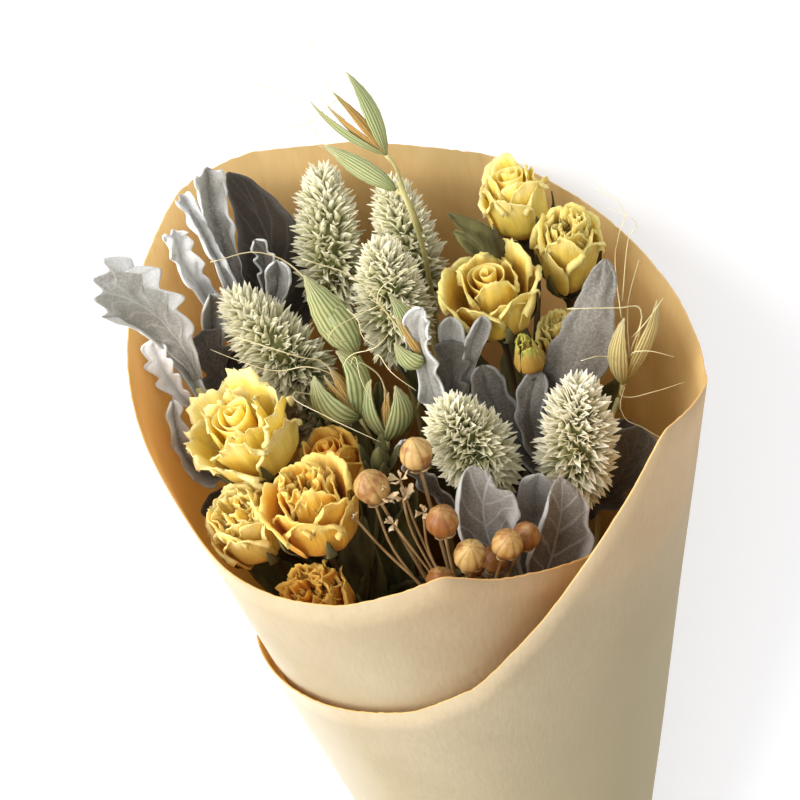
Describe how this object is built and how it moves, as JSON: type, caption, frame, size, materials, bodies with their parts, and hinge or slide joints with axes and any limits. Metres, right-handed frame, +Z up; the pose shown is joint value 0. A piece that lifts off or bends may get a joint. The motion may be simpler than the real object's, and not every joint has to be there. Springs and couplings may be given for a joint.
{
  "type": "dried flower bouquet",
  "caption": "Bunch of dried roses, canary grass, oats, flax pods and silver leaves in a cone of kraft paper.",
  "frame": {"origin": "middle of the bouquet's footprint, on the surface that it lies on", "axes": "+Y along the bouquet towards the blooms, +X to the right in the picture, +Z up from the surface"},
  "size_m": [0.149, 0.4346, 0.1283],
  "materials": {
    "kraft_paper": "matt brown kraft paper",
    "twine": "rough jute twine",
    "binding": "raffia binding",
    "rose_petal": "dry papery petals",
    "rose_stem": "dry green bark",
    "canary_scale": "dry pale green scales",
    "straw": "dry straw",
    "oat_husk": "striped papery husk",
    "flax_stalk": "dry thin stalk",
    "flax_pod": "dry ribbed pod",
    "ragwort_felt": "white felt on grey leaf"
  },
  "bodies": {
    "root": {"kraft_wrapper": "kraft_paper", "stem_binding": "binding", "twine_tie": "twine", "canary_1": "canary_scale", "canary_1_straw": "straw", "canary_2": "canary_scale", "canary_2_straw": "straw", "canary_3": "canary_scale", "canary_3_straw": "straw", "canary_4": "canary_scale", "canary_4_straw": "straw", "canary_5": "canary_scale", "canary_5_straw": "straw", "canary_6": "canary_scale", "canary_6_straw": "straw", "canary_7": "canary_scale", "canary_7_straw": "straw", "rose_1": "rose_petal", "rose_2": "rose_petal", "rose_3": "rose_petal", "rose_4": "rose_petal", "rose_5": "rose_petal", "rose_6": "rose_petal", "rose_7": "rose_petal", "rose_8": "rose_petal", "rose_9": "rose_petal", "rose_10": "rose_petal", "rose_spray_left": "rose_stem", "rose_spray_right": "rose_stem", "ragwort_back": "ragwort_felt", "ragwort_left": "ragwort_felt", "ragwort_middle": "ragwort_felt", "ragwort_right": "ragwort_felt", "ragwort_front": "ragwort_felt", "oat_back": "oat_husk", "oat_middle": "oat_husk", "oat_right": "oat_husk", "flax_pod_1": "flax_pod", "flax_pod_2": "flax_pod", "flax_pod_3": "flax_pod", "flax_pod_4": "flax_pod", "flax_pod_5": "flax_pod", "flax_pod_6": "flax_pod", "flax_pod_7": "flax_pod", "flax_pod_8": "flax_pod", "flax_pod_9": "flax_pod", "flax_stalks": "flax_stalk"}
  },
  "joints": []
}
